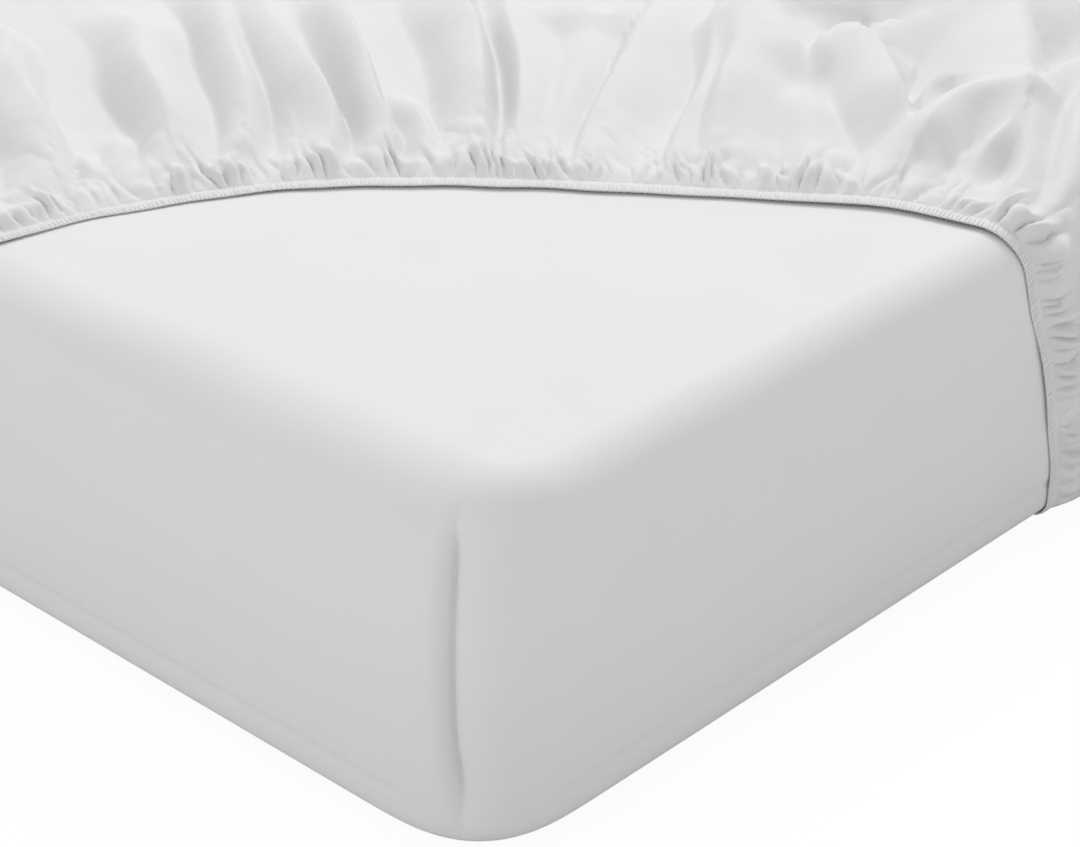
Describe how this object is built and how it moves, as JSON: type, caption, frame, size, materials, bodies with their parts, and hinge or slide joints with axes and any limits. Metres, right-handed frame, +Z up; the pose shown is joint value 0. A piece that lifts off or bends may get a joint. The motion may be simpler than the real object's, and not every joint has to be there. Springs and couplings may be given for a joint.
{
  "type": "fitted sheet on mattress",
  "caption": "White fitted sheet with an elastic hem on a deep mattress, drawn back from a corner so that the hem curves across the top in gathers and soft folds.",
  "frame": {"origin": "on the floor, under the middle of the mattress", "axes": "+Z up, +Y along the mattress's length, +X across it; the bare corner is at -X and -Y"},
  "size_m": [1.4096, 2.0096, 0.3287],
  "materials": {
    "sheet_cloth": "soft matt plain weave",
    "elastic": "matt overlocked elastic",
    "mattress_cover": "smooth matt jersey"
  },
  "bodies": {
    "root": {"fitted_sheet": "sheet_cloth", "elastic_edge": "elastic", "mattress": "mattress_cover"}
  },
  "joints": []
}
